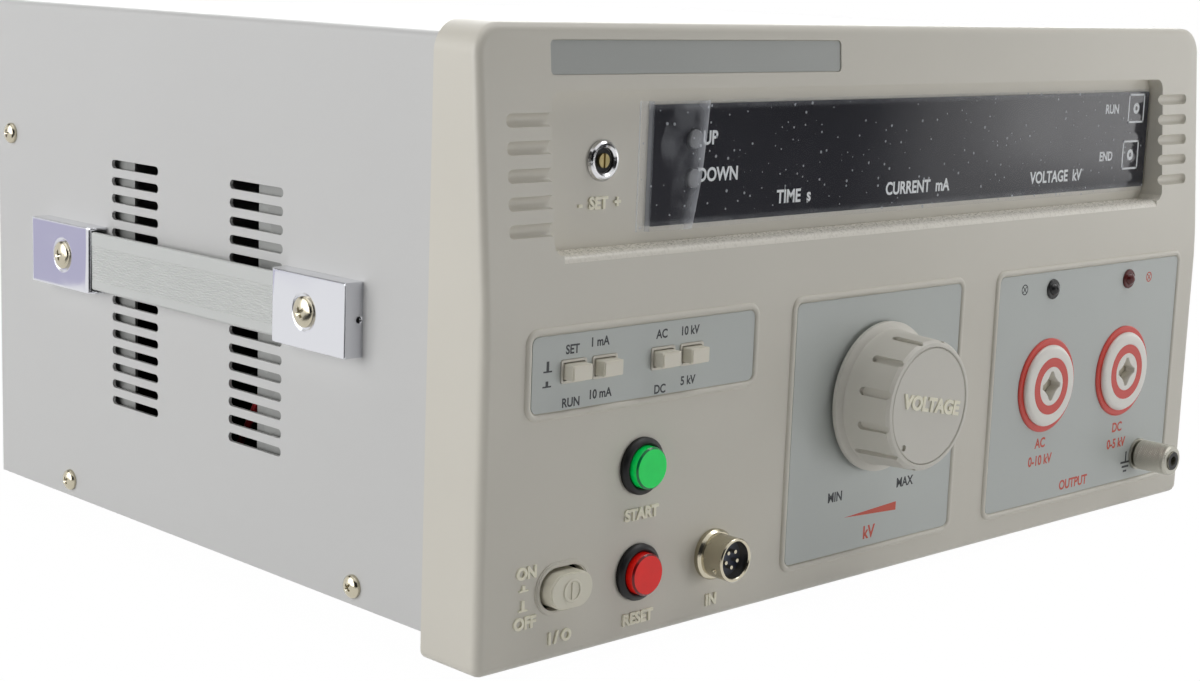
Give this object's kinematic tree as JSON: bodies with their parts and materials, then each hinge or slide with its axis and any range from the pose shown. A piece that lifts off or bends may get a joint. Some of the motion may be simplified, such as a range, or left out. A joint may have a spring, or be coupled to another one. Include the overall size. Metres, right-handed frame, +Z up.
{
  "type": "hipot tester",
  "caption": "Bench high-voltage withstand tester: moulded front bezel with display, switches, regulator knob and output sockets on a vented case with strap handles.",
  "frame": {"origin": "middle of the bounding box's footprint, on the surface the feet stand on", "axes": "+X to the right of someone facing the panel, +Y from the panel to the rear, +Z up"},
  "size_m": [0.4142, 0.326, 0.203],
  "materials": {
    "bezel_plastic": "satin",
    "cover_paint": "satin",
    "chassis_steel": "plain",
    "label_film": "satin",
    "dark_acrylic": "gloss",
    "circuit_board": "matte",
    "black_plastic": "satin",
    "grey_plastic": "satin",
    "cream_plastic": "satin",
    "chrome": "polished",
    "nickel": "polished",
    "navy_plastic": "satin",
    "contact_brass": "polished",
    "green_lens": "gloss",
    "red_lens": "gloss",
    "red_plastic": "gloss",
    "white_plastic": "gloss",
    "strap_vinyl": "satin",
    "rubber": "matte",
    "lamination": "varnished",
    "copper_winding": "varnished",
    "bakelite": "satin",
    "wire_insulation": "satin"
  },
  "bodies": {
    "case": {"front_bezel": "bezel_plastic", "top_cover": "cover_paint", "bottom_chassis": "chassis_steel", "rear_panel": "cover_paint", "front_subpanel": "chassis_steel", "bezel_screws": "nickel", "name_plate": "label_film", "switch_label": "label_film", "knob_label": "label_film", "output_label": "label_film", "display_window": "dark_acrylic", "display_board": "circuit_board", "digit_modules": "black_plastic", "preset_collar": "chrome", "preset_pot": "black_plastic", "range_switch_bodies": "cream_plastic", "power_switch_body": "black_plastic", "start_housing": "black_plastic", "reset_housing": "black_plastic", "button_nuts": "black_plastic", "connector_shell": "nickel", "connector_insert": "navy_plastic", "connector_contacts": "contact_brass", "regulator_base": "bakelite", "regulator_winding": "copper_winding", "socket_flanges": "red_plastic", "ac_socket": "white_plastic", "dc_socket": "white_plastic", "socket_rings": "red_plastic", "socket_contacts": "contact_brass", "ready_lamp": "black_plastic", "voltage_lamp": "red_lens", "earth_stud": "nickel", "handle_caps": "chrome", "handle_straps": "strap_vinyl", "handle_screws": "nickel", "cover_screws": "nickel", "rubber_feet": "rubber", "foot_screws": "nickel", "transformer_core": "lamination", "transformer_coil": "copper_winding", "main_board": "circuit_board", "mains_lead": "wire_insulation", "mains_inlet": "black_plastic"},
    "regulator": {"regulator_knob": "bezel_plastic", "knob_disc": "bezel_plastic", "regulator_shaft": "nickel", "brush_arm": "contact_brass"},
    "preset_adjuster": {"preset_shaft": "nickel"},
    "earth_nut": {"earth_thumb_nut": "nickel"},
    "range_button_1": {"range_cap_1": "cream_plastic"},
    "range_button_2": {"range_cap_2": "cream_plastic"},
    "range_button_3": {"range_cap_3": "cream_plastic"},
    "range_button_4": {"range_cap_4": "cream_plastic"},
    "power_button": {"power_cap": "grey_plastic"},
    "start_button": {"start_cap": "green_lens"},
    "reset_button": {"reset_cap": "red_lens"},
    "timer_up": {"timer_up_key": "grey_plastic"},
    "timer_down": {"timer_down_key": "grey_plastic"},
    "fuse_holder": {"fuse_drawer": "black_plastic"}
  },
  "joints": [
    {"name": "regulator_turn", "type": "hinge", "parent": "case", "child": "regulator", "pos_m": [-0.013, -0.139, 0.0708], "axis": [0, 1, 0], "range_deg": [0, 270]},
    {"name": "preset_turn", "type": "hinge", "parent": "case", "child": "preset_adjuster", "pos_m": [-0.1444, -0.127, 0.1595], "axis": [0, 1, 0], "range_deg": [-135, 135]},
    {"name": "earth_nut_turn", "type": "hinge", "parent": "case", "child": "earth_nut", "pos_m": [0.1665, -0.149, 0.0248], "axis": [0, 1, 0], "continuous": true},
    {"name": "range_push_1", "type": "slide", "parent": "case", "child": "range_button_1", "axis": [0, 1, 0], "range_m": [0, 0.0032]},
    {"name": "range_push_2", "type": "slide", "parent": "case", "child": "range_button_2", "axis": [0, 1, 0], "range_m": [0, 0.0032]},
    {"name": "range_push_3", "type": "slide", "parent": "case", "child": "range_button_3", "axis": [0, 1, 0], "range_m": [0, 0.0032]},
    {"name": "range_push_4", "type": "slide", "parent": "case", "child": "range_button_4", "axis": [0, 1, 0], "range_m": [0, 0.0032]},
    {"name": "power_push", "type": "slide", "parent": "case", "child": "power_button", "axis": [0, 1, 0], "range_m": [0, 0.004]},
    {"name": "start_push", "type": "slide", "parent": "case", "child": "start_button", "axis": [0, 1, 0], "range_m": [0, 0.0025], "stiffness_N_per_m": 500},
    {"name": "reset_push", "type": "slide", "parent": "case", "child": "reset_button", "axis": [0, 1, 0], "range_m": [0, 0.0025], "stiffness_N_per_m": 500},
    {"name": "timer_up_push", "type": "slide", "parent": "case", "child": "timer_up", "axis": [0, 1, 0], "range_m": [0, 0.0006], "stiffness_N_per_m": 900},
    {"name": "timer_down_push", "type": "slide", "parent": "case", "child": "timer_down", "axis": [0, 1, 0], "range_m": [0, 0.0006], "stiffness_N_per_m": 900},
    {"name": "fuse_drawer_pull", "type": "slide", "parent": "case", "child": "fuse_holder", "axis": [0, 1, 0], "range_m": [0, 0.02]}
  ]
}
